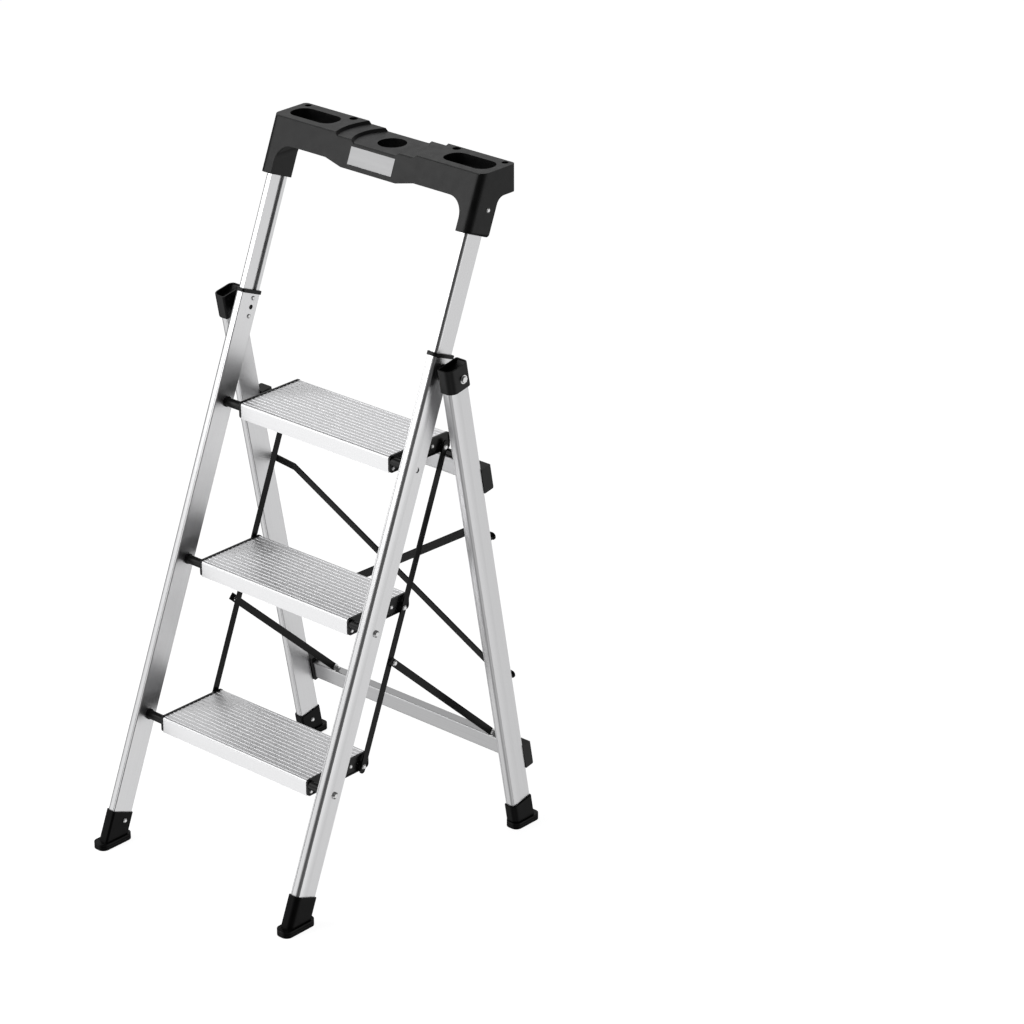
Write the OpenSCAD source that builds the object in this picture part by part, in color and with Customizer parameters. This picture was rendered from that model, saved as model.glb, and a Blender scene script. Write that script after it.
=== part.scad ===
// Three-step folding stool with a telescoping handle tray.
// X runs across the stool, Y to the rear, Z up.
// The origin is on the floor, under the middle of the stool.

/* [Steps] */
// Vertical distance from one tread to the next
tread_rise = 240; // [230:1:245]
// Height of the lowest tread's top above the floor
first_tread = 212; // [205:1:220]
// Depth of a tread from its front edge to its rear edge
tread_d = 134; // [130:1:138]
// Half the length of a tread's extrusion
tread_half = 160; // [150:1:160]

/* [Frame] */
// Lean of the front rails from the vertical
front_lean = 22; // [20:0.5:24]
// Lean of the rear legs from the vertical
rear_lean = 10.5; // [9:0.5:12]
// Distance from the middle plane to a front rail's inner face
rail_in = 198; // [198:1:202]
// Distance from the middle plane to a rear leg's inner face
leg_in = 231; // [231:1:234]
// Length of a front rail up to its top end
rail_top = 922; // [915:1:930]
// Width of the rail and leg extrusion
rail_w = 17; // [17:0.5:18]
// Depth of the rail and leg extrusion
rail_d = 40; // [40:0.5:42]
// Wall of the rail and leg extrusion
rail_wall = 1.3; // [1.2:0.1:1.5]

/* [Handle] */
// Height of the handle tray's top when it is pulled out
tray_top = 1119; // [1110:1:1125]
// Half the length of the handle tray
tray_half = 222; // [222:1:224]
// Rear face of the tray, measured from the rails' foot
tray_rear = 519.5; // [515:0.5:522]
// Wall of an inner tube
tube_wall = 1.2; // [1:0.1:1.4]

/* [Linkage] */
// Swing of a tread from open to folded
tread_swing = 66; // [64:1:67]
// Distance from a tread's front pivot back to its tie bar pivot
tie_back = 111; // [109:0.5:112]
// Drop from a tread's front pivot to its tie bar pivot
tie_drop = 10; // [9:0.5:11]
// Width of the tie bars
bar_w = 11; // [9:0.5:11]
// Width of the struts
strut_w = 12; // [10:0.5:12]
// Thickness of the flat bars
bar_t = 2.5; // [2:0.1:2.5]

/* [Hidden] */
$fn = 64;

BLACK = [0.07, 0.07, 0.08];
SILVER = [0.80, 0.81, 0.83];
ZINC = [0.90, 0.90, 0.92];

// Rail frame: t rearwards across the rail from its front face, s up along the rail
sin_f = sin(front_lean);
cos_f = cos(front_lean);
cos_r = cos(rear_lean);
fold = front_lean + rear_lean;

// Profile of the rails and legs
nose_r = 7;
edge_r = 1.6;
crease_t = 20;
crease_step = 0.7;
head_base = 0.3;
bow_r = 60;
bow_t = 14;
line_x = 2.8;
line_w = 0.9;
line_deep = 0.5;
cavity_out = rail_w - crease_step - 1.1;
rail_out = rail_in + rail_w;

// Tread pivots
pivot_t = 25;
pivot_below = 9.5;
pivot_behind = 6.5;
pivot_z = [for (i = [0:2]) first_tread + i * tread_rise - pivot_below];
pivot_s = [for (z = pivot_z) (z + pivot_t * sin_f) / cos_f];
pivot_y = [for (s = pivot_s) s * sin_f + pivot_t * cos_f];
pivot_r = 3;
nut_r = 4.6;
bolt_head_r = 5.6;
bolt_head_h = 3.4;
shoulder_r = 4.5;
fit_gap = 0.05;

// Hinge between the front rails and the rear legs
hinge_t = 28;
hinge_s = 900;
hinge_y = hinge_s * sin_f + hinge_t * cos_f;
hinge_z = hinge_s * cos_f - hinge_t * sin_f;
leg_hinge_t = 25;
leg_hinge_s = hinge_z / cos_r;
hinge_r = 5;
washer_r = 7;
hex_r = 5.2;
hex_h = 2.6;
cap_in = 229;
cap_out = 255;
cap_low = 821;
cap_high = 861;
cap_front = -2.4;
cap_rear = 42.4;
cap_edge_r = 3;
cap_front_r = 13;
cap_rear_r = 9;
leg_top = 846;
boss_r = 13;

// Feet
rail_start = 24;
leg_start = 14;
boot_wall = 2.5;
front_boot_top = 64;
rear_boot_top = 47;
sole_half = 14;
sole_h = 11;
front_sole = [-8, 58];
rear_sole = [484, 543];
y_mid = (front_sole[0] + rear_sole[1]) / 2;
screw_r = 2;
sole_r = 11;
groove_z = [3, 6.5];
groove_in = 0.7;
sole_groove = 0.9;
front_screw_s = 50;
rear_screw_t = 20;
rear_screw_s = 31;

// Stack of flat parts beside the treads, measured from the middle plane
bracket_out = tread_half + 3.5;
recess_d = 1.2;
tie_in = bracket_out + 3.5;
tie_out = tie_in + bar_t;
tie_head_out = tie_out + 2.2;
strut_in = tie_out + 6;
strut_out = strut_in + bar_t;
strut_head_out = strut_out + 2.5;
spacer_r = 7.25;

// Linkage in the rail frame, t and s of each pivot
tie_t = tie_back * cos_f + tie_drop * sin_f;
tie_s = tie_back * sin_f - tie_drop * cos_f;
tie_t_folded = tie_t * cos(tread_swing) - tie_s * sin(tread_swing);
tie_s_folded = tie_t * sin(tread_swing) + tie_s * cos(tread_swing);
strut_leg_t = 44;
strut_leg_s = 144;
foot_dt = strut_leg_t - leg_hinge_t;
foot_ds = strut_leg_s - leg_hinge_s;
foot_folded = [hinge_t + foot_dt, hinge_s + foot_ds];
foot_open = [
    hinge_t + foot_dt * cos(fold) - foot_ds * sin(fold),
    hinge_s + foot_dt * sin(fold) + foot_ds * cos(fold)
];
// The strut keeps its length between open and folded, which sets its height on the tie bar
open_gap = [tie_t - foot_open[0], tie_s - foot_open[1]];
fold_gap = [tie_t_folded - foot_folded[0], tie_s_folded - foot_folded[1]];
gap_rest = (fold_gap * fold_gap - open_gap * open_gap) / 2;
strut_on_tie = (gap_rest - pivot_t * (open_gap[0] - fold_gap[0])) / (open_gap[1] - fold_gap[1]);
strut_front = [pivot_t + tie_t, strut_on_tie + tie_s];
strut_run = strut_front - foot_open;
strut_len = norm(strut_run);
strut_angle = atan2(strut_run[1], strut_run[0]);
strut_tail = 10;
strut_pin_r = 2.5;
clip_t = 1.6;
clip_in = strut_in - 0.4;
clip_out = strut_out + 0.4;
tie_rivet_r = 2.5;
tie_end = 6;

// Tread extrusion and its end plates, measured from the pivot
skin = 1.8;
ridge_h = 0.7;
ridge_w = 1.8;
ridges = 15;
ridge_pitch = (tread_d - 12) / (ridges - 1);
skirt_front = 27;
skirt_rear = 24;
bracket_over = 0.8;
bracket_low = -18.3;
bracket_head_r = 3.4;
tread_rivets = [[1.5, -12.5], [32.5, -3.5], [89.5, -4.1], [121, -7.5]];

// Rear frame
bar_h = 31;
bar_d = 16;
crossbar_wall = 1.4;
lower_bar = [42, 105];
upper_bar = [51, 628];
upper_bar_d = 10;
block_in = 226;
block_out = 249;
block_wall = 2;
block_under = 4;
block_over = 8;
block_r = 5;
pad_half = 15;
pad_x = 165;
pad_front = 3.5;
pad_h = 10;
crossbar_end = 236;
brace_t = 46.5;
brace_w = 13;
brace_high = 538;
brace_low = 278;
brace_bend_high = 532;
brace_bend_low = 284;
brace_end_x = 240;
brace_bend_x = 190;
brace_bolt_r = 2.5;
brace_mid = (brace_high + brace_low) / 2;

// Handle
tray_front = -6;
tray_leg_in = 196;
tray_leg_rear = 43;
tray_leg_low = 1113;
tray_under = 1080;
tray_under_mid = 1072.5;
tray_under_rear = 1075;
mid_flat = 58;
mid_ramp = 93;
arch_r = 28;
fillet_r = 17;
corner_front_r = 13;
corner_rear_r = 7;
tray_foot_r = 6;
step_r = [92, 62];
step_h = 4.3;
step_run = 4;
rabbet = 1.3;
dish_x = 163;
dish_y = 481;
dish_l = 92;
dish_w = 42;
dish_r = 19;
dish_deep = 17;
mid_hole_y = 483;
mid_hole_r = 23;
pen_holes = [[208, 5.5], [109, 6.8]];
pen_y = 510.5;
pen_deep = 24;
shell_t = 3;
tube_gap = 0.5;
groove_t = [21.8, 31];
groove_deep = 4;
tube_low = 725;
tube_high = 1165;
rib_x = [-150, -112, -75, -45, 45, 75, 112, 150];
label_half = 46;
label_s = [1162, 1190];
label_t = 0.8;
handle_screw_s = 1154;
handle_screw_t = 26;
collar_h = 6;
collar_over = 2;
tongue_t = [23, 30];
tongue_low = 878;
tongue_d = 3.9;
collar_screw_s = [885.6, 915];
collar_screw_t = 26.5;
button_s = 900.5;
button_r = 4;

// ---------- placing ----------

module in_rail() {
    translate([0, -y_mid, 0]) rotate([-front_lean, 0, 0]) children();
}

module in_leg() {
    translate([0, hinge_y - y_mid, hinge_z]) rotate([rear_lean, 0, 0])
        translate([0, -leg_hinge_t, -leg_hinge_s]) children();
}

module at_pivot(i) {
    translate([0, pivot_y[i] - y_mid, pivot_z[i]]) children();
}

module side(k) {
    if (k < 0) mirror([1, 0, 0]) children();
    else children();
}

module both() {
    children();
    mirror([1, 0, 0]) children();
}

// ---------- shared shapes ----------

// Outline in the Y-Z plane, extruded from x0 to x1
module along_x(x0, x1) {
    translate([x0, 0, 0]) rotate([90, 0, 90]) linear_extrude(x1 - x0) children();
}

// Outline in X and s, extruded rearwards from t0 to t1
module along_t(t0, t1) {
    translate([0, t1, 0]) rotate([90, 0, 0]) linear_extrude(t1 - t0) children();
}

module pin_x(r, x0, x1) {
    translate([x0, 0, 0]) rotate([0, 90, 0]) cylinder(r = r, h = x1 - x0);
}

// Low domed head that points outwards
module head_x(r, x0, h) {
    translate([x0, 0, 0]) rotate([0, 90, 0]) cylinder(r = r, h = h * 0.45);
    translate([x0 + h * 0.45, 0, 0]) rotate([0, 90, 0]) cylinder(r1 = r, r2 = r * 0.6, h = h * 0.55);
}

module rounded_rect(x0, y0, x1, y1, r) {
    translate([x0 + r, y0]) square([x1 - x0 - 2 * r, y1 - y0]);
    translate([x0, y0 + r]) square([x1 - x0, y1 - y0 - 2 * r]);
    for (x = [x0 + r, x1 - r]) for (y = [y0 + r, y1 - r]) translate([x, y]) circle(r);
}

// Rail outline shrunk by g on every side, without the crease and the bow
module rail_blank(g, out = rail_w) {
    intersection() {
        rounded_rect(g, g, out - g, rail_d - g, max(edge_r - g, 0.5));
        rounded_rect(-2 * rail_w, g, out - g, 2 * rail_d, max(nose_r - g, 1));
    }
}

module rail_outline() {
    difference() {
        rail_blank(0);
        difference() {
            translate([rail_w - 3, -1]) square([6, crease_t + 1]);
            translate([rail_w - bow_r, bow_t]) circle(bow_r, $fn = 128);
        }
        translate([rail_w - crease_step, crease_t]) square([2, rail_d]);
        translate([line_x, -1]) square([line_w, 1 + line_deep]);
    }
}

module rail_cavity() {
    intersection() {
        rounded_rect(rail_wall, rail_wall, cavity_out, rail_d - rail_wall, 0.8);
        rounded_rect(-2 * rail_w, rail_wall, cavity_out, 2 * rail_d, nose_r - rail_wall);
    }
}

module rail_bar(s0, s1) {
    difference() {
        translate([0, 0, s0]) linear_extrude(s1 - s0) rail_outline();
        translate([0, 0, s0 - 1]) linear_extrude(s1 - s0 + 2) rail_cavity();
    }
}

// Outline of a boot or cap around the rail profile
module boot_outline(g) {
    intersection() {
        rounded_rect(-g, -g, rail_w + g, rail_d + g, edge_r + g);
        rounded_rect(-2 * rail_w, -g, rail_w + g, 2 * rail_d, nose_r + g);
    }
}

module flat_bar(len) {
    translate([0, -bar_w / 2]) square([len, bar_w]);
    circle(bar_w / 2);
    translate([len, 0]) circle(bar_w / 2);
}

// Strut outline: round at its foot, cut square past its rivet
module strut_bar(len) {
    circle(strut_w / 2);
    translate([0, -strut_w / 2]) square([len / 2, strut_w]);
    rounded_rect(strut_w, -strut_w / 2, len, strut_w / 2, 1);
}

// ---------- front frame ----------

module rail() {
    in_rail() difference() {
        translate([rail_in, 0, 0]) rail_bar(rail_start, rail_top);
        for (i = [0:1])
            translate([0, pivot_t, pivot_s[i]]) pin_x(pivot_r, rail_in - 1, rail_out + 1);
        translate([0, pivot_t, pivot_s[2]]) pin_x(pivot_r, rail_in - 1, rail_in + 4);
        translate([0, pivot_t, pivot_s[2]]) pin_x(shoulder_r, rail_in + 8, rail_out + 1);
        translate([0, hinge_t, hinge_s]) pin_x(hinge_r, rail_in + 8, rail_out + 1);
        for (s = concat(collar_screw_s, [front_screw_s]))
            translate([0, collar_screw_t, s]) pin_x(screw_r, rail_in - 1, rail_in + 4);
        translate([0, collar_screw_t, button_s]) pin_x(button_r, rail_in - 1, rail_in + 4);
    }
}

module collar() {
    in_rail() translate([rail_in, 0, 0]) difference() {
        union() {
            translate([0, 0, rail_top]) linear_extrude(collar_h) boot_outline(collar_over);
            translate([rail_wall, tongue_t[0], tongue_low])
                cube([tongue_d, tongue_t[1] - tongue_t[0], rail_top - tongue_low + 1]);
        }
        translate([0, 0, rail_top - 1]) linear_extrude(collar_h + 2) difference() {
            rail_blank(rail_wall, cavity_out + rail_wall);
            translate([0, tongue_t[0]]) square([rail_wall + tongue_d, tongue_t[1] - tongue_t[0]]);
        }
        for (s = collar_screw_s) translate([0, collar_screw_t, s]) pin_x(screw_r, -1, rail_wall + 2.8);
    }
}

module collar_screws() {
    in_rail() both() for (s = collar_screw_s) translate([0, collar_screw_t, s]) {
        pin_x(screw_r - fit_gap, rail_in, rail_in + rail_wall + 2.6);
        mirror([1, 0, 0]) head_x(3.6, -rail_in, 1.6);
    }
}

// Flat rubber sole with two grooves round its edge
module foot_sole(sole, mid, r) {
    translate([0, -y_mid, 0]) difference() {
        linear_extrude(sole_h) rounded_rect(mid - sole_half, sole[0], mid + sole_half, sole[1], r);
        for (z = groove_z) translate([0, 0, z]) linear_extrude(sole_groove) difference() {
            translate([mid, (sole[0] + sole[1]) / 2]) square([80, 200], center = true);
            rounded_rect(mid - sole_half + groove_in, sole[0] + groove_in,
                mid + sole_half - groove_in, sole[1] - groove_in, r - groove_in);
        }
    }
}

module foot_front() {
    mid = rail_in + rail_w / 2;
    difference() {
        union() {
            foot_sole(front_sole, mid, sole_r);
            intersection() {
                in_rail() translate([rail_in, 0, -30]) linear_extrude(front_boot_top + 30)
                    boot_outline(boot_wall);
                translate([rail_in - 30, -y_mid - 60, 0]) cube([80, 200, 200]);
            }
        }
        in_rail() translate([rail_in, 0, rail_start]) linear_extrude(200) boot_outline(0);
        in_rail() translate([0, collar_screw_t, front_screw_s]) pin_x(screw_r, rail_in - 9, rail_in + 4);
    }
}

module foot_rear() {
    mid = leg_in + rail_w / 2;
    difference() {
        union() {
            foot_sole(rear_sole, mid, sole_r);
            intersection() {
                in_leg() translate([leg_in, 0, -30]) linear_extrude(rear_boot_top + 30)
                    boot_outline(boot_wall);
                translate([leg_in - 30, rear_sole[0] - y_mid - 60, 0]) cube([80, 200, 200]);
            }
        }
        in_leg() translate([leg_in, 0, leg_start]) linear_extrude(200) boot_outline(0);
        in_leg() translate([0, rear_screw_t, rear_screw_s]) pin_x(screw_r, leg_in - 9, leg_in + 4);
    }
}

module front_foot_screws() {
    in_rail() both() translate([0, collar_screw_t, front_screw_s]) {
        pin_x(screw_r - fit_gap, rail_in - boot_wall, rail_in + 4);
        mirror([1, 0, 0]) head_x(4, boot_wall - rail_in, 2);
    }
}

module pivot_spacers() {
    in_rail() both() for (s = pivot_s) translate([0, pivot_t, s]) difference() {
        union() {
            pin_x(spacer_r, bracket_out + 0.3, rail_in);
            pin_x(spacer_r + 1.4, rail_in - 3, rail_in);
        }
        pin_x(pivot_r, bracket_out, rail_in + 1);
    }
}

module pivot_bolts() {
    in_rail() both() for (i = [0:1]) translate([0, pivot_t, pivot_s[i]]) {
        pin_x(pivot_r, tread_half - 6, rail_in + rail_w);
        pin_x(nut_r, tread_half - 6, tread_half - 1);
        head_x(bolt_head_r, rail_in + rail_w - head_base, bolt_head_h);
    }
}

module pivot_studs() {
    in_rail() both() translate([0, pivot_t, pivot_s[2]]) {
        pin_x(pivot_r, tread_half - 6, rail_in + rail_wall + 1.6);
        pin_x(nut_r, tread_half - 6, tread_half - 1);
    }
}

module hinge_bolts() {
    in_rail() both() translate([0, hinge_t, hinge_s]) {
        pin_x(hinge_r, rail_in + cavity_out + 0.1, cap_out + 0.5);
        pin_x(washer_r, cap_out + 0.2, cap_out + 1.2);
        translate([cap_out + 1.2, 0, 0]) rotate([0, 90, 0]) cylinder(r = hex_r, h = hex_h, $fn = 6);
    }
}

// ---------- rear frame ----------

module rear_leg() {
    in_leg() difference() {
        translate([leg_in, 0, 0]) rail_bar(leg_start, leg_top);
        translate([0, leg_hinge_t, leg_hinge_s])
            pin_x(hinge_r + fit_gap, leg_in - 1, leg_in + rail_w + 1);
        translate([0, rear_screw_t, rear_screw_s]) pin_x(screw_r, leg_in - 1, leg_in + 4);
        for (s = [brace_low, brace_high]) translate([brace_end_x, rail_d + 1, s])
            rotate([90, 0, 0]) cylinder(r = brace_bolt_r, h = 6);
    }
}

module hinge_cap() {
    in_leg() difference() {
        union() {
            translate([0, 0, cap_low]) linear_extrude(cap_high - cap_low) intersection() {
                rounded_rect(cap_in, cap_front, cap_out, cap_rear, cap_edge_r);
                rounded_rect(cap_in - 60, cap_front, cap_out, cap_rear + 60, cap_front_r);
                rounded_rect(cap_in - 60, cap_front - 60, cap_out, cap_rear, cap_rear_r);
            }
            translate([0, leg_hinge_t, leg_hinge_s]) pin_x(boss_r, rail_in + rail_w + 0.4, cap_in + 1);
        }
        translate([leg_in, 0, cap_low - 1]) linear_extrude(leg_top - cap_low + 1) boot_outline(0);
        translate([0, 0, cap_high]) hinge_cap_scoop();
        translate([0, leg_hinge_t, leg_hinge_s])
            pin_x(hinge_r + fit_gap, rail_in + rail_w - 1, cap_out + 1);
    }
}

// Dished pocket in the top of the cap, deepest at its front
module hinge_cap_scoop() {
    wall = 2.4;
    scoop_r = 34;
    intersection() {
        translate([0, 0, -12]) linear_extrude(20) intersection() {
            rounded_rect(cap_in + wall, cap_front + wall,
                cap_out - wall, cap_rear - wall, cap_edge_r - 1);
            rounded_rect(cap_in - 60, cap_front + wall,
                cap_out - wall, cap_rear + 60, cap_front_r - wall);
            rounded_rect(cap_in - 60, cap_front - 60,
                cap_out - wall, cap_rear - wall, cap_rear_r - wall);
        }
        translate([0, 16, scoop_r - 12]) pin_x(scoop_r, cap_in - 1, cap_out + 1);
    }
}

// Tube across the backs of the legs: at is its front face and its lower edge, d its depth
module crossbar(at, d) {
    in_leg() translate([0, at[0], at[1]]) difference() {
        along_x(-crossbar_end, crossbar_end) rounded_rect(0, 0, d, bar_h, 2);
        along_x(-crossbar_end - 1, crossbar_end + 1)
            rounded_rect(crossbar_wall, crossbar_wall, d - crossbar_wall, bar_h - crossbar_wall, 1);
    }
}

// Plastic blocks that hold a crossbar's ends to the backs of the legs
module end_blocks(at, d) {
    depth = at[0] + d + block_wall - rail_d;
    height = bar_h + block_under + block_over;
    in_leg() both() translate([0, rail_d, at[1] - block_under]) difference() {
        intersection() {
            along_x(block_in, block_out) rounded_rect(-2 * block_r, 0, depth, height, block_r);
            linear_extrude(height) rounded_rect(block_in, -4 * block_r, block_out, depth, block_r);
            translate([block_in, 0, 0]) cube([block_out, depth, height]);
        }
        translate([0, at[0] - rail_d, block_under])
            along_x(block_in - 1, crossbar_end) rounded_rect(0, 0, d, bar_h, 2);
    }
}

module rest_pads() {
    in_leg() both() translate([pad_x - pad_half, upper_bar[0] + pad_front, upper_bar[1] + bar_h])
        cube([2 * pad_half, upper_bar_d - pad_front, pad_h]);
}

// One stay: short flats behind the legs and a long slope between them
module brace_outline() {
    ends = [
        [[-brace_end_x, brace_high], [-brace_bend_x, brace_bend_high]],
        [[-brace_bend_x, brace_bend_high], [brace_bend_x, brace_bend_low]],
        [[brace_bend_x, brace_bend_low], [brace_end_x, brace_low]]
    ];
    for (e = ends) {
        run = e[1] - e[0];
        translate(e[0]) rotate(atan2(run[1], run[0])) {
            translate([0, -brace_w / 2]) square([norm(run), brace_w]);
            circle(brace_w / 2);
            translate([norm(run), 0]) circle(brace_w / 2);
        }
    }
}

module brace_bar(t0, k) {
    in_leg() side(k) along_t(t0, t0 + bar_t) difference() {
        brace_outline();
        for (p = [[-brace_end_x, brace_high], [brace_end_x, brace_low], [0, brace_mid]])
            translate(p) circle(brace_bolt_r);
    }
}

module brace_rivet() {
    in_leg() translate([0, brace_t, brace_mid]) rotate([-90, 0, 0]) {
        translate([0, 0, -1.5]) cylinder(r = 4.5, h = 1.5);
        cylinder(r = brace_bolt_r, h = 2 * bar_t);
        translate([0, 0, 2 * bar_t]) cylinder(r1 = 4.5, r2 = 3, h = 1.6);
    }
}

// Shouldered bolts that hold each stay a little behind the leg
module brace_bolts() {
    in_leg() for (x = [-brace_end_x, brace_end_x]) for (s = [brace_low, brace_high]) {
        t_bar = (x > 0) == (s == brace_high) ? brace_t + bar_t : brace_t;
        translate([x, rail_d, s]) rotate([-90, 0, 0]) {
            translate([0, 0, -4]) cylinder(r = brace_bolt_r, h = t_bar + bar_t - rail_d + 4);
            cylinder(r = 5, h = t_bar - rail_d);
            translate([0, 0, t_bar + bar_t - rail_d]) cylinder(r = 5.2, h = 1.2);
            translate([0, 0, t_bar + bar_t - rail_d + 1.2]) cylinder(r1 = 5.2, r2 = 2.6, h = 1.8);
        }
    }
}

module rear_foot_screws() {
    in_leg() both() translate([0, rear_screw_t, rear_screw_s]) {
        pin_x(screw_r - fit_gap, leg_in - boot_wall, leg_in + 4);
        mirror([1, 0, 0]) head_x(4, boot_wall - leg_in, 2);
    }
}

// Sheet clip on the lower crossbar: a foot and two ears beside the strut's end
module strut_clips() {
    bar_top = lower_bar[1] + bar_h;
    in_leg() both() difference() {
        union() {
            translate([clip_in - clip_t, lower_bar[0], bar_top])
                cube([clip_out - clip_in + 2 * clip_t, 12, clip_t]);
            for (x = [clip_in - clip_t, clip_out])
                along_x(x, x + clip_t) difference() {
                    union() {
                        translate([lower_bar[0], bar_top]) square([8, strut_leg_s - bar_top]);
                        translate([strut_leg_t + 1, strut_leg_s]) circle(5.5);
                    }
                    translate([lower_bar[0] - 20, lower_bar[1]]) square([20, bar_h]);
                }
        }
        translate([0, strut_leg_t, strut_leg_s]) pin_x(strut_pin_r, clip_in - 3, clip_out + 3);
        translate([0, lower_bar[0], lower_bar[1]])
            along_x(clip_in - 9, clip_out + 9) square([bar_d, bar_h]);
    }
}

module strut_pins() {
    in_leg() both() translate([0, strut_leg_t, strut_leg_s]) {
        pin_x(strut_pin_r, clip_in - clip_t, clip_out + clip_t);
        head_x(4, clip_out + clip_t, 1.8);
    }
}

// ---------- treads ----------

module tread_profile() {
    top = pivot_below - ridge_h;
    front = -pivot_behind;
    rear = tread_d - pivot_behind;
    difference() {
        union() {
            difference() {
                rounded_rect(front, -2 * skirt_front, rear, top, 4);
                rounded_rect(front + skin, -4 * skirt_front, rear - skin, top - skin, 2.4);
            }
            translate([front, pivot_below - skirt_front]) square([9, skin]);
            translate([rear - 9, pivot_below - skirt_rear]) square([9, skin]);
            for (p = tread_rivets) translate(p) circle(4.2);
            translate([front + 1, tread_rivets[0][1] - 1]) square([5, 2]);
            for (p = [tread_rivets[1], tread_rivets[2]])
                translate([p[0] - 0.8, p[1] + 3]) square([1.6, top - p[1] - 4]);
            translate([tread_rivets[3][0] + 3, tread_rivets[3][1] - 1])
                square([rear - tread_rivets[3][0] - 4, 2]);
            for (k = [0:ridges - 1])
                translate([front + 5 + k * ridge_pitch, top - 0.5])
                    square([ridge_w, ridge_h + 0.5]);
        }
        for (p = tread_rivets) translate(p) circle(screw_r);
        translate([front - 1, -5 * skirt_front]) square([tread_d + 2, 4 * skirt_front + pivot_below]);
        translate([tread_d / 2, -5 * skirt_front])
            square([tread_d, 5 * skirt_front + pivot_below - skirt_rear]);
    }
}

module tread(i) {
    at_pivot(i) along_x(-tread_half, tread_half) tread_profile();
}

// Moulded end plate of a tread, sunk inside its rim
module bracket_profile(g) {
    rounded_rect(-pivot_behind - bracket_over + g, bracket_low + g,
        tread_d - pivot_behind + bracket_over - g, pivot_below + bracket_over - g, 6 - g);
    translate([tie_back, -tie_drop]) circle(9 - g);
}

module bracket(i, k) {
    at_pivot(i) side(k) difference() {
        along_x(tread_half, bracket_out) bracket_profile(0);
        along_x(bracket_out - recess_d, bracket_out + 1) difference() {
            bracket_profile(2.2);
            circle(8);
            translate([tie_back, -tie_drop]) circle(7);
        }
        pin_x(pivot_r + fit_gap, tread_half - 1, bracket_out + 1);
        translate([0, tie_back, -tie_drop])
            pin_x(tie_rivet_r + fit_gap, tread_half - 1, bracket_out + 1);
        for (p = tread_rivets)
            translate([0, p[0], p[1]]) pin_x(screw_r, tread_half - 1, bracket_out + 1);
    }
}

module bracket_rivets(i) {
    at_pivot(i) both() for (p = tread_rivets) translate([0, p[0], p[1]]) {
        pin_x(screw_r, tread_half - 12, bracket_out - recess_d);
        head_x(bracket_head_r, bracket_out - recess_d, 1.3);
    }
}

// ---------- linkage ----------

module tie_bar(k) {
    in_rail() side(k) translate([0, pivot_t + tie_t, pivot_s[0] + tie_s]) difference() {
        along_x(tie_in, tie_out) translate([0, -tie_end]) rotate(90)
            flat_bar(pivot_s[2] - pivot_s[0] + 2 * tie_end);
        for (s = pivot_s) translate([0, 0, s - pivot_s[0]]) pin_x(tie_rivet_r, tie_in - 1, tie_out + 1);
    }
}

module tie_rivets(k) {
    in_rail() side(k) for (s = pivot_s) translate([0, pivot_t + tie_t, s + tie_s]) {
        pin_x(tie_rivet_r, tread_half - 3, tie_out);
        pin_x(3.5, tread_half - 3, tread_half - 0.4);
        head_x(4.5, tie_out, tie_head_out - tie_out);
    }
}

module strut(k) {
    in_rail() side(k) translate([0, foot_open[0], foot_open[1]]) rotate([strut_angle, 0, 0])
        difference() {
            along_x(strut_in, strut_out) strut_bar(strut_len + strut_tail);
            pin_x(strut_pin_r + fit_gap, strut_in - 1, strut_out + 1);
            translate([0, strut_len, 0]) pin_x(strut_pin_r, strut_in - 1, strut_out + 1);
        }
}

module strut_rivet(k) {
    in_rail() side(k) translate([0, strut_front[0], strut_front[1]]) {
        pin_x(strut_pin_r, strut_in - 4, strut_out);
        pin_x(4, strut_in - 4, strut_in);
        head_x(5, strut_out, strut_head_out - strut_out);
    }
}

// ---------- handle ----------

// Height to Y on the plane that lies t behind the rails' front faces
function plane_y(z, t) = (z + t * sin_f) / cos_f * sin_f + t * cos_f;
function rail_yz(t, s) = [s * sin_f + t * cos_f, s * cos_f - t * sin_f];

// Side outline: leg, overhanging tray and the fillet behind the leg
module tray_profile() {
    fillet_s = (tray_under_rear - fillet_r + (tray_leg_rear + fillet_r) * sin_f) / cos_f;
    fillet_mid = rail_yz(tray_leg_rear + fillet_r, fillet_s);
    polygon([
        rail_yz(tray_front, tray_leg_low),
        rail_yz(tray_leg_rear, tray_leg_low),
        [plane_y(tray_under_rear, tray_leg_rear), tray_under_rear],
        [tray_rear, tray_under_rear],
        [tray_rear, tray_top],
        [plane_y(tray_top, tray_front), tray_top]
    ]);
    difference() {
        polygon([
            [plane_y(tray_under_rear, tray_leg_rear), tray_under_rear],
            rail_yz(tray_leg_rear, fillet_s),
            fillet_mid,
            [fillet_mid[0], tray_under_rear]
        ]);
        translate(fillet_mid) circle(fillet_r);
    }
}

// Opening under the tray, lower in the middle and arched into the legs
module arch_outline() {
    difference() {
        polygon([
            [-tray_leg_in, tray_leg_low - 200], [-tray_leg_in, tray_under],
            [-mid_ramp, tray_under], [-mid_flat, tray_under_mid],
            [mid_flat, tray_under_mid], [mid_ramp, tray_under],
            [tray_leg_in, tray_under], [tray_leg_in, tray_leg_low - 200]
        ]);
        both() difference() {
            translate([tray_leg_in - arch_r, tray_under - arch_r]) square([arch_r + 1, arch_r + 1]);
            translate([tray_leg_in - arch_r, tray_under - arch_r]) circle(arch_r);
        }
    }
}

// Everything above the tray's top, which steps down twice towards the middle
module tray_void() {
    translate([0, -y_mid, tray_top]) {
        translate([-2 * tray_half, tray_rear - 200, 0]) cube([4 * tray_half, 300, 60]);
        for (k = [0:1]) translate([0, dish_y, -(k + 1) * step_h])
            cylinder(r1 = step_r[k] - step_run, r2 = step_r[k], h = step_h, $fn = 128);
    }
}

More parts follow.
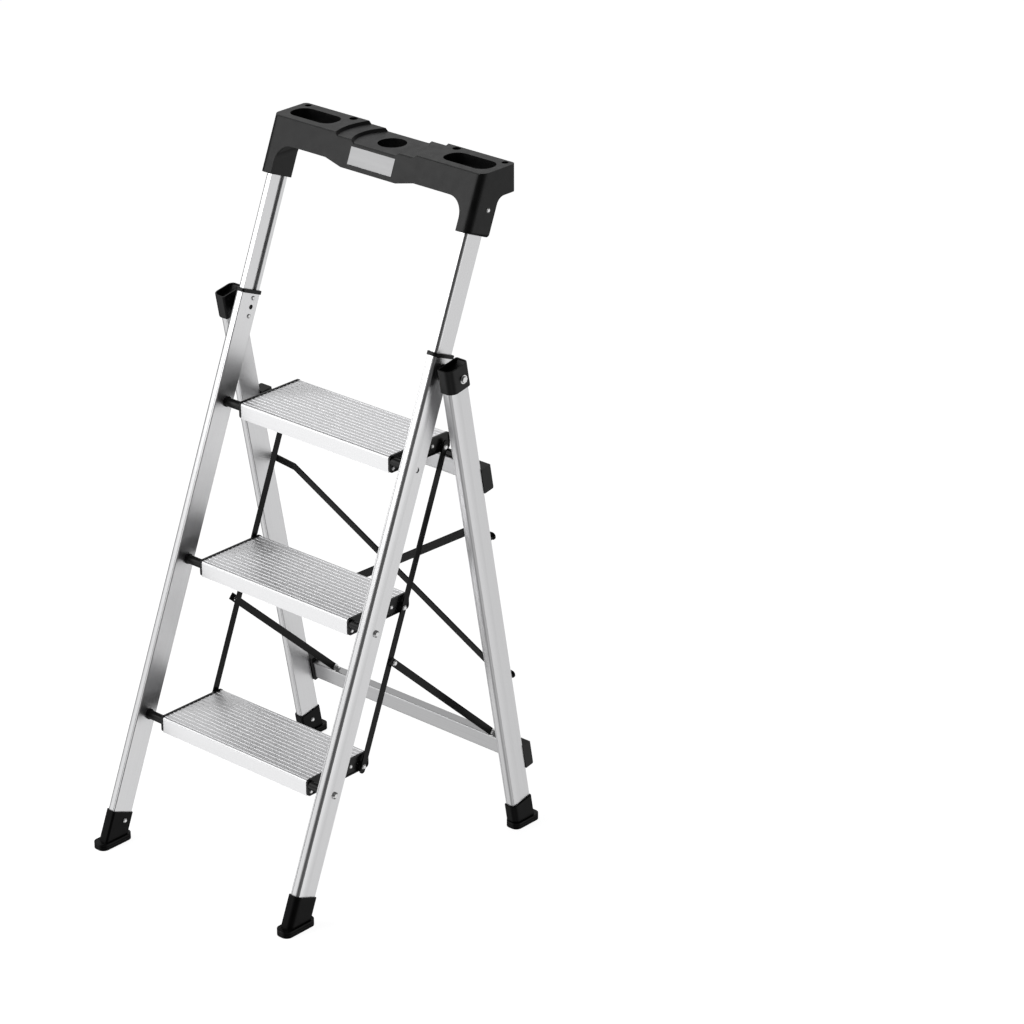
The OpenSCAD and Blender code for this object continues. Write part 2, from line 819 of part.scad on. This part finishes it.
// Hollow under the tray, with the pockets, holes and ribs left standing in it
module tray_shell() {
    top = tray_top - 2 * step_h - shell_t;
    translate([0, -y_mid, 0]) difference() {
        along_x(-tray_leg_in + shell_t, tray_leg_in - shell_t) polygon([
            [plane_y(tray_under_mid - 9, tray_front + shell_t), tray_under_mid - 9],
            [plane_y(top, tray_front + shell_t), top],
            [tray_rear - shell_t, top],
            [tray_rear - shell_t, tray_under_mid - 9]
        ]);
        both() translate([0, 0, tray_top - dish_deep - shell_t]) linear_extrude(dish_deep + shell_t)
            rounded_rect(dish_x - dish_l / 2 - shell_t, dish_y - dish_w / 2 - shell_t,
                dish_x + dish_l / 2 + shell_t, dish_y + dish_w / 2 + shell_t, dish_r + shell_t);
        both() for (h = pen_holes) translate([h[0], pen_y, tray_top - pen_deep - shell_t])
            cylinder(r = h[1] + shell_t, h = pen_deep);
        translate([0, mid_hole_y, tray_under_mid]) cylinder(r = mid_hole_r + shell_t, h = 60);
        for (x = rib_x) translate([x - 1, tray_rear - 120, tray_under_mid + 2]) cube([2, 120, 60]);
    }
}

module handle_tray() {
    difference() {
        intersection() {
            translate([0, -y_mid, 0]) along_x(-tray_half, tray_half) tray_profile();
            in_rail() translate([0, 0, tray_leg_low - 20]) linear_extrude(200)
                rounded_rect(-tray_half, tray_front, tray_half, 200, corner_front_r);
            in_rail() along_t(tray_front - 1, 300)
                rounded_rect(-tray_half, tray_leg_low, tray_half, tray_leg_low + 300, tray_foot_r);
            translate([0, -y_mid, tray_leg_low - 200]) linear_extrude(400)
                rounded_rect(-tray_half, 200, tray_half, tray_rear, corner_rear_r);
        }
        translate([0, tray_rear + 100 - y_mid, 0]) rotate([90, 0, 0]) linear_extrude(240) arch_outline();
        tray_void();
        intersection() {
            translate([0, 0, -rabbet]) tray_void();
            in_rail() translate([-tray_half, tray_front - 1, tray_leg_low])
                cube([2 * tray_half, 1 + rabbet, 200]);
        }
        tray_shell();
        translate([0, -y_mid, 0]) both() {
            translate([0, 0, tray_top - dish_deep]) linear_extrude(dish_deep + 1)
                rounded_rect(dish_x - dish_l / 2, dish_y - dish_w / 2, dish_x + dish_l / 2,
                    dish_y + dish_w / 2, dish_r);
            for (h = pen_holes)
                translate([h[0], pen_y, tray_top - pen_deep]) cylinder(r = h[1], h = pen_deep + 1);
        }
        translate([0, mid_hole_y - y_mid, tray_under_mid - 20]) cylinder(r = mid_hole_r, h = 90);
        in_rail() translate([-label_half, tray_front - 1, label_s[0]])
            cube([2 * label_half, 1 + label_t, label_s[1] - label_s[0]]);
        in_rail() both() {
            translate([rail_in, 0, tray_leg_low - 1]) linear_extrude(tube_high - tray_leg_low + 1.1)
                rail_blank(rail_wall + tube_gap - 0.1, cavity_out + rail_wall);
            translate([0, handle_screw_t, handle_screw_s])
                pin_x(screw_r + fit_gap, rail_in + 10, tray_half + 1);
        }
    }
}

module label_plate() {
    in_rail() translate([-label_half, tray_front, label_s[0]])
        cube([2 * label_half, label_t, label_s[1] - label_s[0]]);
}

module tube_outline() {
    difference() {
        rail_blank(rail_wall + tube_gap, cavity_out + rail_wall);
        translate([0, groove_t[0]])
            square([rail_wall + tube_gap + groove_deep, groove_t[1] - groove_t[0]]);
    }
}

module tube_bore() {
    in_wall = rail_wall + tube_gap + tube_wall;
    difference() {
        rail_blank(in_wall, cavity_out + rail_wall);
        translate([0, groove_t[0] - tube_wall])
            square([in_wall + groove_deep, groove_t[1] - groove_t[0] + 2 * tube_wall]);
    }
}

module inner_tube() {
    in_rail() difference() {
        translate([rail_in, 0, tube_low]) linear_extrude(tube_high - tube_low) difference() {
            tube_outline();
            tube_bore();
        }
        translate([0, handle_screw_t, handle_screw_s]) pin_x(screw_r, rail_in + 10, rail_in + rail_w);
    }
}

module tube_plugs() {
    in_rail() both() translate([rail_in, 0, 0]) {
        translate([0, 0, tube_low - 3]) linear_extrude(3) tube_outline();
        translate([0, 0, tube_low]) linear_extrude(10) tube_bore();
    }
}

module handle_screws() {
    in_rail() both() translate([0, handle_screw_t, handle_screw_s]) {
        pin_x(screw_r, rail_in + 11, tray_half);
        head_x(4, tray_half, 1.8);
    }
}

// ---------- nodes ----------

color(SILVER) side(-1) rail();  // rail_left
color(SILVER) side(1) rail();  // rail_right
color(BLACK) side(-1) collar();  // collar_left
color(BLACK) side(1) collar();  // collar_right
color(ZINC) collar_screws();
color(BLACK) side(-1) foot_front();  // foot_front_left
color(BLACK) side(1) foot_front();  // foot_front_right
color(ZINC) front_foot_screws();
color(BLACK) pivot_spacers();
color(ZINC) pivot_bolts();
color(ZINC) pivot_studs();
color(ZINC) hinge_bolts();
color(SILVER) side(-1) rear_leg();  // rear_leg_left
color(SILVER) side(1) rear_leg();  // rear_leg_right
color(BLACK) side(-1) hinge_cap();  // hinge_cap_left
color(BLACK) side(1) hinge_cap();  // hinge_cap_right
color(SILVER) crossbar(upper_bar, upper_bar_d);  // upper_crossbar
color(SILVER) crossbar(lower_bar, bar_d);  // lower_crossbar
color(BLACK) end_blocks(upper_bar, upper_bar_d);  // upper_end_blocks
color(BLACK) end_blocks(lower_bar, bar_d);  // lower_end_blocks
color(BLACK) brace_bar(brace_t, 1);  // brace_bar_a
color(BLACK) brace_bar(brace_t + bar_t, -1);  // brace_bar_b
color(ZINC) brace_rivet();
color(BLACK) brace_bolts();
color(BLACK) side(-1) foot_rear();  // foot_rear_left
color(BLACK) side(1) foot_rear();  // foot_rear_right
color(ZINC) rear_foot_screws();
color(ZINC) strut_clips();
color(ZINC) strut_pins();
color(BLACK) rest_pads();
color(SILVER) tread(0);  // tread_bottom
color(SILVER) tread(1);  // tread_middle
color(SILVER) tread(2);  // tread_top
color(BLACK) bracket(0, -1);  // bracket_bottom_left
color(BLACK) bracket(0, 1);  // bracket_bottom_right
color(BLACK) bracket(1, -1);  // bracket_middle_left
color(BLACK) bracket(1, 1);  // bracket_middle_right
color(BLACK) bracket(2, -1);  // bracket_top_left
color(BLACK) bracket(2, 1);  // bracket_top_right
color(ZINC) bracket_rivets(0);  // bracket_rivets_bottom
color(ZINC) bracket_rivets(1);  // bracket_rivets_middle
color(ZINC) bracket_rivets(2);  // bracket_rivets_top
color(BLACK) tie_bar(-1);  // tie_bar_left
color(BLACK) tie_bar(1);  // tie_bar_right
color(ZINC) tie_rivets(-1);  // tie_rivets_left
color(ZINC) tie_rivets(1);  // tie_rivets_right
color(BLACK) strut(-1);  // strut_left
color(BLACK) strut(1);  // strut_right
color(ZINC) strut_rivet(-1);  // strut_rivet_left
color(ZINC) strut_rivet(1);  // strut_rivet_right
color(BLACK) handle_tray();
color(ZINC) label_plate();
color(SILVER) side(-1) inner_tube();  // inner_tube_left
color(SILVER) side(1) inner_tube();  // inner_tube_right
color(BLACK) tube_plugs();
color(ZINC) handle_screws();
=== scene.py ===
"""Looks of the three-step folding stool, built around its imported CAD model."""

import math

import bpy
from mathutils import Matrix, Vector


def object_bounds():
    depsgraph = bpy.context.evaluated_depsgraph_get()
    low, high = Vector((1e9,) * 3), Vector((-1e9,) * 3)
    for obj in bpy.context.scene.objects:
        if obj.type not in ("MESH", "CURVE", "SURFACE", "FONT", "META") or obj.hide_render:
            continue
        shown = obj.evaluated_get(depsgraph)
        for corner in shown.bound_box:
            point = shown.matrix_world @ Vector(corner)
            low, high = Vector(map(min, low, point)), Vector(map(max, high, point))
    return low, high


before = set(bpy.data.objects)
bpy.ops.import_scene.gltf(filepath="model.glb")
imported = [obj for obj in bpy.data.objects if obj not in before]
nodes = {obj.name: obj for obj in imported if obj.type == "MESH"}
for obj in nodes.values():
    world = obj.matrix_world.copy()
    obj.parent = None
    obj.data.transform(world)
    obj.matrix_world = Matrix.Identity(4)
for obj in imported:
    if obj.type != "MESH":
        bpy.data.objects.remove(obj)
cad_low, cad_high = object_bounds()
scene = bpy.context.scene
scene.view_settings.view_transform = "Standard"

FRONT_LEAN = math.radians(22)
REAR_LEAN = math.radians(10.5)
MM = 0.001


# ---------------------------------------------------------------- camera
CAMERA_AZIMUTH = math.radians(41.848)
CAMERA_ELEVATION = math.radians(24.135)
CAMERA_ROLL = -0.0018628
CAMERA_DISTANCE = 6.02828
CAMERA_TARGET = Vector((0.19271, 0.27417, 0.52691))
CAMERA_LENS = 134.32
SENSOR = 36


def add_camera():
    """A camera that looks at the target from its azimuth and elevation."""
    flat = math.cos(CAMERA_ELEVATION)
    back = Vector(
        (
            math.sin(CAMERA_AZIMUTH) * flat,
            -math.cos(CAMERA_AZIMUTH) * flat,
            math.sin(CAMERA_ELEVATION),
        )
    )
    right = Vector((0, 0, 1)).cross(back).normalized()
    up = back.cross(right)
    tilted = right * math.cos(CAMERA_ROLL) + up * math.sin(CAMERA_ROLL)
    axes = Matrix((tilted, back.cross(tilted), back)).transposed()
    data = bpy.data.cameras.new("camera")
    data.lens = CAMERA_LENS
    data.sensor_width = SENSOR
    camera = bpy.data.objects.new("camera", data)
    camera.matrix_world = Matrix.Translation(
        CAMERA_TARGET + back * CAMERA_DISTANCE
    ) @ axes.to_4x4()
    scene.collection.objects.link(camera)
    scene.camera = camera


# ------------------------------------------------------------- materials
class Paint:
    """A material under construction, with short calls for its nodes."""

    def __init__(self, name, colour, metallic, roughness, **sockets):
        self.mat = bpy.data.materials.new(name)
        self.mat.use_nodes = True
        self.nodes = self.mat.node_tree.nodes
        self.links = self.mat.node_tree.links
        self.shader = self.nodes["Principled BSDF"]
        self.set("Base Color", (*colour, 1))
        self.set("Metallic", metallic)
        self.set("Roughness", roughness)
        for socket, value in sockets.items():
            self.set(socket.replace("_", " "), value)

    def set(self, socket, value):
        self.shader.inputs[socket].default_value = value

    def link(self, source, target):
        self.links.new(source, target)

    def noise(self, size, turn=(0, 0, 0), detail=2.0):
        """Noise whose grains have the given size in metres, after a turn."""
        place = self.nodes.new("ShaderNodeTexCoord")
        mapping = self.nodes.new("ShaderNodeMapping")
        mapping.vector_type = "TEXTURE"
        mapping.inputs["Rotation"].default_value = turn
        mapping.inputs["Scale"].default_value = size
        texture = self.nodes.new("ShaderNodeTexNoise")
        texture.inputs["Scale"].default_value = 1
        texture.inputs["Detail"].default_value = detail
        self.link(place.outputs["Object"], mapping.inputs["Vector"])
        self.link(mapping.outputs["Vector"], texture.inputs["Vector"])
        return texture.outputs["Fac"]

    def spread(self, source, low, high, start=0.25, end=0.75):
        """source, remapped from start..end to low..high."""
        remap = self.nodes.new("ShaderNodeMapRange")
        for socket, value in zip(
            ("From Min", "From Max", "To Min", "To Max"), (start, end, low, high)
        ):
            remap.inputs[socket].default_value = value
        self.link(source, remap.inputs["Value"])
        return remap.outputs["Result"]

    def total(self, *sources):
        """The sum of several values."""
        out = sources[0]
        for source in sources[1:]:
            add = self.nodes.new("ShaderNodeMath")
            add.operation = "ADD"
            self.link(out, add.inputs[0])
            self.link(source, add.inputs[1])
            out = add.outputs[0]
        return out

    def tint(self, source, dark, light):
        """Base colour between dark and light as source goes from 0 to 1."""
        mix = self.nodes.new("ShaderNodeMix")
        mix.data_type = "RGBA"
        mix.inputs["A"].default_value = (*dark, 1)
        mix.inputs["B"].default_value = (*light, 1)
        self.link(source, mix.inputs["Factor"])
        colour = next(o for o in mix.outputs if o.type == "RGBA")
        self.link(colour, self.shader.inputs["Base Color"])

    def bump(self, source, height):
        """Bumps of the given height in metres where source is high."""
        bump = self.nodes.new("ShaderNodeBump")
        bump.inputs["Distance"].default_value = height
        bump.inputs["Strength"].default_value = 1
        self.link(source, bump.inputs["Height"])
        self.link(bump.outputs["Normal"], self.shader.inputs["Normal"])


# How much bluer than neutral the aluminium and the black plastic are
COOL = 1.01
COOL_BLACK = 1.04


def grey(value, blue=1.0):
    """A grey of the given value, with its blue scaled."""
    return (value, value, value * blue)


def brushed(name, value, rough, turn, along, height=0.06 * MM, contrast=0.06):
    """Satin aluminium with fine grain along one axis (0 = X, 2 = Z) after the turn."""
    paint = Paint(name, grey(value, COOL), 1.0, rough)

    def size(length, width):
        out = [width * MM] * 3
        out[along] = length * MM
        return out

    fine = paint.noise(size(90, 0.7), turn, 3.0)
    streak = paint.noise(size(320, 3.2), turn, 2.0)
    cloud = paint.noise(size(160, 30), turn, 1.0)
    grain = paint.total(
        paint.spread(fine, 0, 0.35),
        paint.spread(streak, 0, 0.4),
        paint.spread(cloud, 0, 0.25),
    )
    paint.tint(
        grain,
        grey(value * (1 - contrast), COOL),
        grey(value * (1 + contrast), COOL),
    )
    paint.link(
        paint.spread(grain, rough - 0.05, rough + 0.06, 0, 1),
        paint.shader.inputs["Roughness"],
    )
    paint.bump(fine, height)
    return paint.mat


def moulded(name, value, rough, grain_mm=0.55, height=0.05 * MM, shine=0.3):
    """Moulded black plastic: fine spark-eroded grain, a little mottled."""
    paint = Paint(name, grey(value, COOL_BLACK), 0.0, rough, Specular_IOR_Level=shine)
    grain = paint.noise([grain_mm * MM] * 3, detail=3.0)
    cloud = paint.noise([14 * MM] * 3, detail=3.0)
    paint.tint(
        paint.spread(cloud, 0, 1),
        grey(value * 0.85, COOL_BLACK),
        grey(value * 1.2, COOL_BLACK),
    )
    paint.link(
        paint.total(
            paint.spread(grain, rough - 0.05, rough + 0.05),
            paint.spread(cloud, -0.04, 0.04),
        ),
        paint.shader.inputs["Roughness"],
    )
    paint.bump(grain, height)
    return paint.mat


def plated(name, value, rough):
    """Bright zinc plate with a soft spangle."""
    paint = Paint(name, grey(value), 1.0, rough)
    spangle = paint.noise([1.2 * MM] * 3, detail=2.0)
    paint.tint(paint.spread(spangle, 0, 1), grey(value * 0.88), grey(value))
    paint.link(
        paint.spread(spangle, rough - 0.06, rough + 0.08),
        paint.shader.inputs["Roughness"],
    )
    paint.bump(spangle, 0.03 * MM)
    return paint.mat


UPRIGHT = 2
ACROSS = 0
RAIL = brushed("aluminium_rail", 0.86, 0.33, (-FRONT_LEAN, 0, 0), UPRIGHT)
TUBE = brushed("aluminium_tube", 0.80, 0.28, (-FRONT_LEAN, 0, 0), UPRIGHT)
LEG = brushed("aluminium_leg", 0.82, 0.36, (REAR_LEAN, 0, 0), UPRIGHT)
# Painted shade: the crossbars get a darker aluminium (0.66) than the legs and rails,
# standing in for the shade they are seen in.
CROSS = brushed("aluminium_crossbar_painted_shade", 0.66, 0.36, (REAR_LEAN, 0, 0), ACROSS, contrast=0.12)
TREAD = brushed("aluminium_tread", 0.92, 0.42, (0, 0, 0), ACROSS, contrast=0.09)
PLASTIC = moulded("black_plastic", 0.006, 0.38, shine=0.3)
BRACKET = moulded("black_bracket", 0.004, 0.34, shine=0.3)
RUBBER = moulded("black_rubber", 0.003, 0.42, 0.9, 0.05 * MM, 0.12)
STEEL = moulded("black_steel", 0.004, 0.34, 1.1, 0.03 * MM, 0.2)
ZINC = plated("zinc_steel", 0.92, 0.22)
# Painted shade: the label plate's silver is darkened to 0.36, standing in for the shade it
# is seen in.
LABEL = brushed("label_silver", 0.36, 0.45, (-FRONT_LEAN, 0, 0), ACROSS, contrast=0.03)

FINISH = (
    ("rail_", RAIL), ("inner_tube", TUBE), ("rear_leg", LEG),
    ("upper_crossbar", CROSS), ("lower_crossbar", CROSS), ("tread_", TREAD),
    ("handle_tray", PLASTIC), ("hinge_cap", PLASTIC), ("collar_left", PLASTIC),
    ("collar_right", PLASTIC), ("tube_plugs", PLASTIC),
    ("bracket_rivets", ZINC), ("bracket_", BRACKET),
    ("upper_end_blocks", BRACKET), ("lower_end_blocks", BRACKET),
    ("rest_pads", BRACKET), ("pivot_spacers", BRACKET),
    ("foot_", RUBBER), ("brace_bar", STEEL), ("tie_bar", STEEL),
    ("strut_left", STEEL), ("strut_right", STEEL), ("brace_bolts", STEEL),
    ("label_plate", LABEL),
)


def finish_nodes():
    """Every CAD node gets its finish; what isn't listed is zinc-plated steel."""
    for name, obj in nodes.items():
        mat = next((m for start, m in FINISH if name.startswith(start)), ZINC)
        obj.data.materials.clear()
        obj.data.materials.append(mat)


# Edge rounding in mm for the nodes whose names start so; the rest stay as they are.
ROUNDING = (
    ("handle_tray", 2.0),
    ("hinge_cap", 1.0),
    ("collar_left", 0.7), ("collar_right", 0.7),
    ("foot_front", 0.8), ("foot_rear", 0.8),
    ("upper_end", 1.4), ("lower_end", 1.4), ("rest_pads", 1.2),
    ("bracket_bottom", 0.5), ("bracket_middle", 0.5), ("bracket_top", 0.5),
    ("tie_bar", 0.5), ("strut_left", 0.5), ("strut_right", 0.5), ("brace_bar", 0.5),
    ("pivot_spacers", 0.8),
)


WELD_MM = 0.01
FLAT_ANGLE = math.radians(0.6)
EDGE_ANGLE = math.radians(38)
EDGE_SEGMENTS = 3


def round_edges():
    """Softens the sharp edges of moulded and pressed parts by modifiers only."""
    for name, obj in nodes.items():
        width = next((w for start, w in ROUNDING if name.startswith(start)), None)
        if width is None:
            continue
        weld = obj.modifiers.new("weld", "WELD")
        weld.merge_threshold = WELD_MM * MM
        flat = obj.modifiers.new("flat", "DECIMATE")
        flat.decimate_type = "DISSOLVE"
        flat.angle_limit = FLAT_ANGLE
        bevel = obj.modifiers.new("bevel", "BEVEL")
        bevel.width = width * MM
        bevel.segments = EDGE_SEGMENTS
        bevel.limit_method = "ANGLE"
        bevel.angle_limit = EDGE_ANGLE
        bevel.use_clamp_overlap = True
        bevel.miter_outer = "MITER_ARC"
        smooth = obj.modifiers.new("smooth", "WEIGHTED_NORMAL")
        smooth.keep_sharp = True


# ------------------------------------------------------- floor and light
def add_floor():
    """A wide white floor that barely shades, and that the metal doesn't mirror."""
    size = 30
    mesh = bpy.data.meshes.new("floor")
    signs = ((-1, -1), (1, -1), (1, 1), (-1, 1))
    corners = [(x * size, y * size, 0) for x, y in signs]
    mesh.from_pydata(corners, [], [(0, 1, 2, 3)])
    floor = bpy.data.objects.new("floor", mesh)
    mat = bpy.data.materials.new("studio_white")
    mat.use_nodes = True
    shader = mat.node_tree.nodes["Principled BSDF"]
    shader.inputs["Base Color"].default_value = (0.4, 0.4, 0.4, 1)
    shader.inputs["Roughness"].default_value = 0.9
    shader.inputs["Specular IOR Level"].default_value = 0.0
    shader.inputs["Emission Color"].default_value = (1, 1, 1, 1)
    shader.inputs["Emission Strength"].default_value = 0.92
    floor.data.materials.append(mat)
    floor.visible_glossy = False
    floor.visible_diffuse = False
    scene.collection.objects.link(floor)


def heading(azimuth, elevation):
    """Unit vector towards a compass direction: 0 is the front, 90 is +X."""
    turn, rise = math.radians(azimuth), math.radians(elevation)
    return Vector(
        (
            math.sin(turn) * math.cos(rise),
            -math.cos(turn) * math.cos(rise),
            math.sin(rise),
        )
    )


def add_world(base, glows):
    """A white studio to look at, lit by soft glows that only the object sees."""
    world = bpy.data.worlds.new("studio")
    world.use_nodes = True
    tree = world.node_tree

    def maths(operation, first, second):
        node = tree.nodes.new("ShaderNodeMath")
        node.operation = operation
        for socket, value in zip(node.inputs, (first, second)):
            if isinstance(value, (int, float)):
                socket.default_value = value
            else:
                tree.links.new(value, socket)
        return node.outputs[0]

    direction = tree.nodes.new("ShaderNodeTexCoord").outputs["Generated"]
    total = None
    for azimuth, elevation, tightness, strength in glows:
        dot = tree.nodes.new("ShaderNodeVectorMath")
        dot.operation = "DOT_PRODUCT"
        tree.links.new(direction, dot.inputs[0])
        dot.inputs[1].default_value = heading(azimuth, elevation)
        near = maths("MAXIMUM", dot.outputs["Value"], 0.0)
        glow = maths("MULTIPLY", maths("POWER", near, tightness), strength)
        total = glow if total is None else maths("ADD", total, glow)
    light = tree.nodes.new("ShaderNodeBackground")
    tree.links.new(maths("ADD", total, base), light.inputs["Strength"])
    seen = tree.nodes["Background"]
    seen.inputs["Color"].default_value = (1, 1, 1, 1)
    seen.inputs["Strength"].default_value = 1
    ray = tree.nodes.new("ShaderNodeLightPath")
    mix = tree.nodes.new("ShaderNodeMixShader")
    tree.links.new(ray.outputs["Is Camera Ray"], mix.inputs["Fac"])
    tree.links.new(light.outputs["Background"], mix.inputs[1])
    tree.links.new(seen.outputs["Background"], mix.inputs[2])
    tree.links.new(mix.outputs["Shader"], tree.nodes["World Output"].inputs["Surface"])
    scene.world = world


def add_softbox(name, azimuth, elevation, distance, width, height, power):
    """An area light that looks at the middle of the object."""
    out = heading(azimuth, elevation)
    centre = (cad_low + cad_high) / 2
    data = bpy.data.lights.new(name, "AREA")
    data.shape = "RECTANGLE"
    data.size = width
    data.size_y = height
    data.energy = power
    lamp = bpy.data.objects.new(name, data)
    lamp.location = centre + out * distance
    lamp.rotation_mode = "QUATERNION"
    lamp.rotation_quaternion = out.to_track_quat("Z", "Y")
    scene.collection.objects.link(lamp)


WORLD_BASE = 0.06
# Azimuth and elevation in degrees, tightness, strength
GLOWS = (
    (-40, -14, 8, 1.7),
    (-50, -45, 10, 0.35),
    (50, -44, 9, 0.8),
    (138, -20, 8, 0.95),
    (108, -18, 40, 1.6),
    (96, 12, 30, 0.8),
    (-138, 26, 8, 0.95),
    (0, 88, 4, 0.3),
)

add_camera()
finish_nodes()
round_edges()
add_floor()
add_world(WORLD_BASE, GLOWS)
add_softbox("key", -38, 34, 2.4, 1.8, 1.8, 20)
